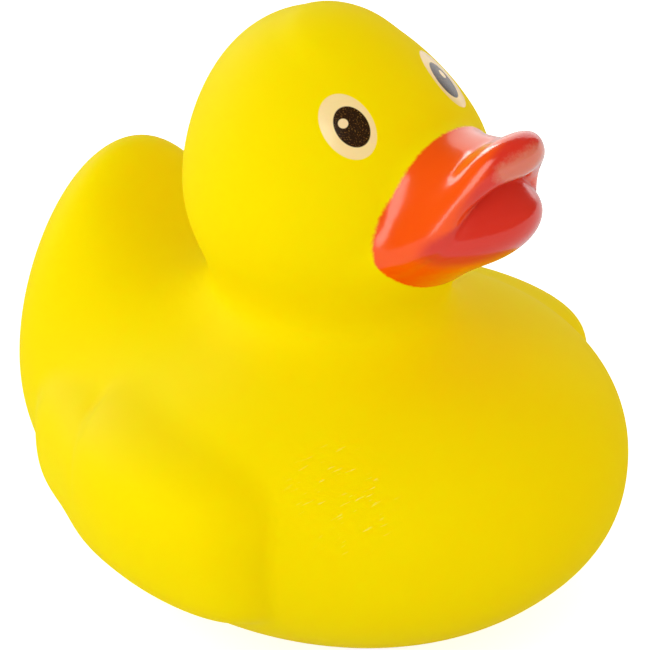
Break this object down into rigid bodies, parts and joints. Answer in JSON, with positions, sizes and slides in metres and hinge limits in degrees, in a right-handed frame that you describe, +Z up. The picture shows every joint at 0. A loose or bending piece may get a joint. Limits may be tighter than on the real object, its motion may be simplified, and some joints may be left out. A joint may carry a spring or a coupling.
{
  "type": "rubber duck",
  "caption": "Hollow soft-vinyl bath duck with a round head, painted bill, printed eyes, raised wings and a flat base with a small air vent.",
  "frame": {"origin": "on the resting plane of the flat base, under the middle of the duck's outline", "axes": "+X towards the bill, +Y to the duck's left, +Z up"},
  "size_m": [0.078, 0.0758, 0.0759],
  "materials": {
    "vinyl": "satin"
  },
  "bodies": {
    "root": {"duck_shell": "vinyl"}
  },
  "joints": []
}
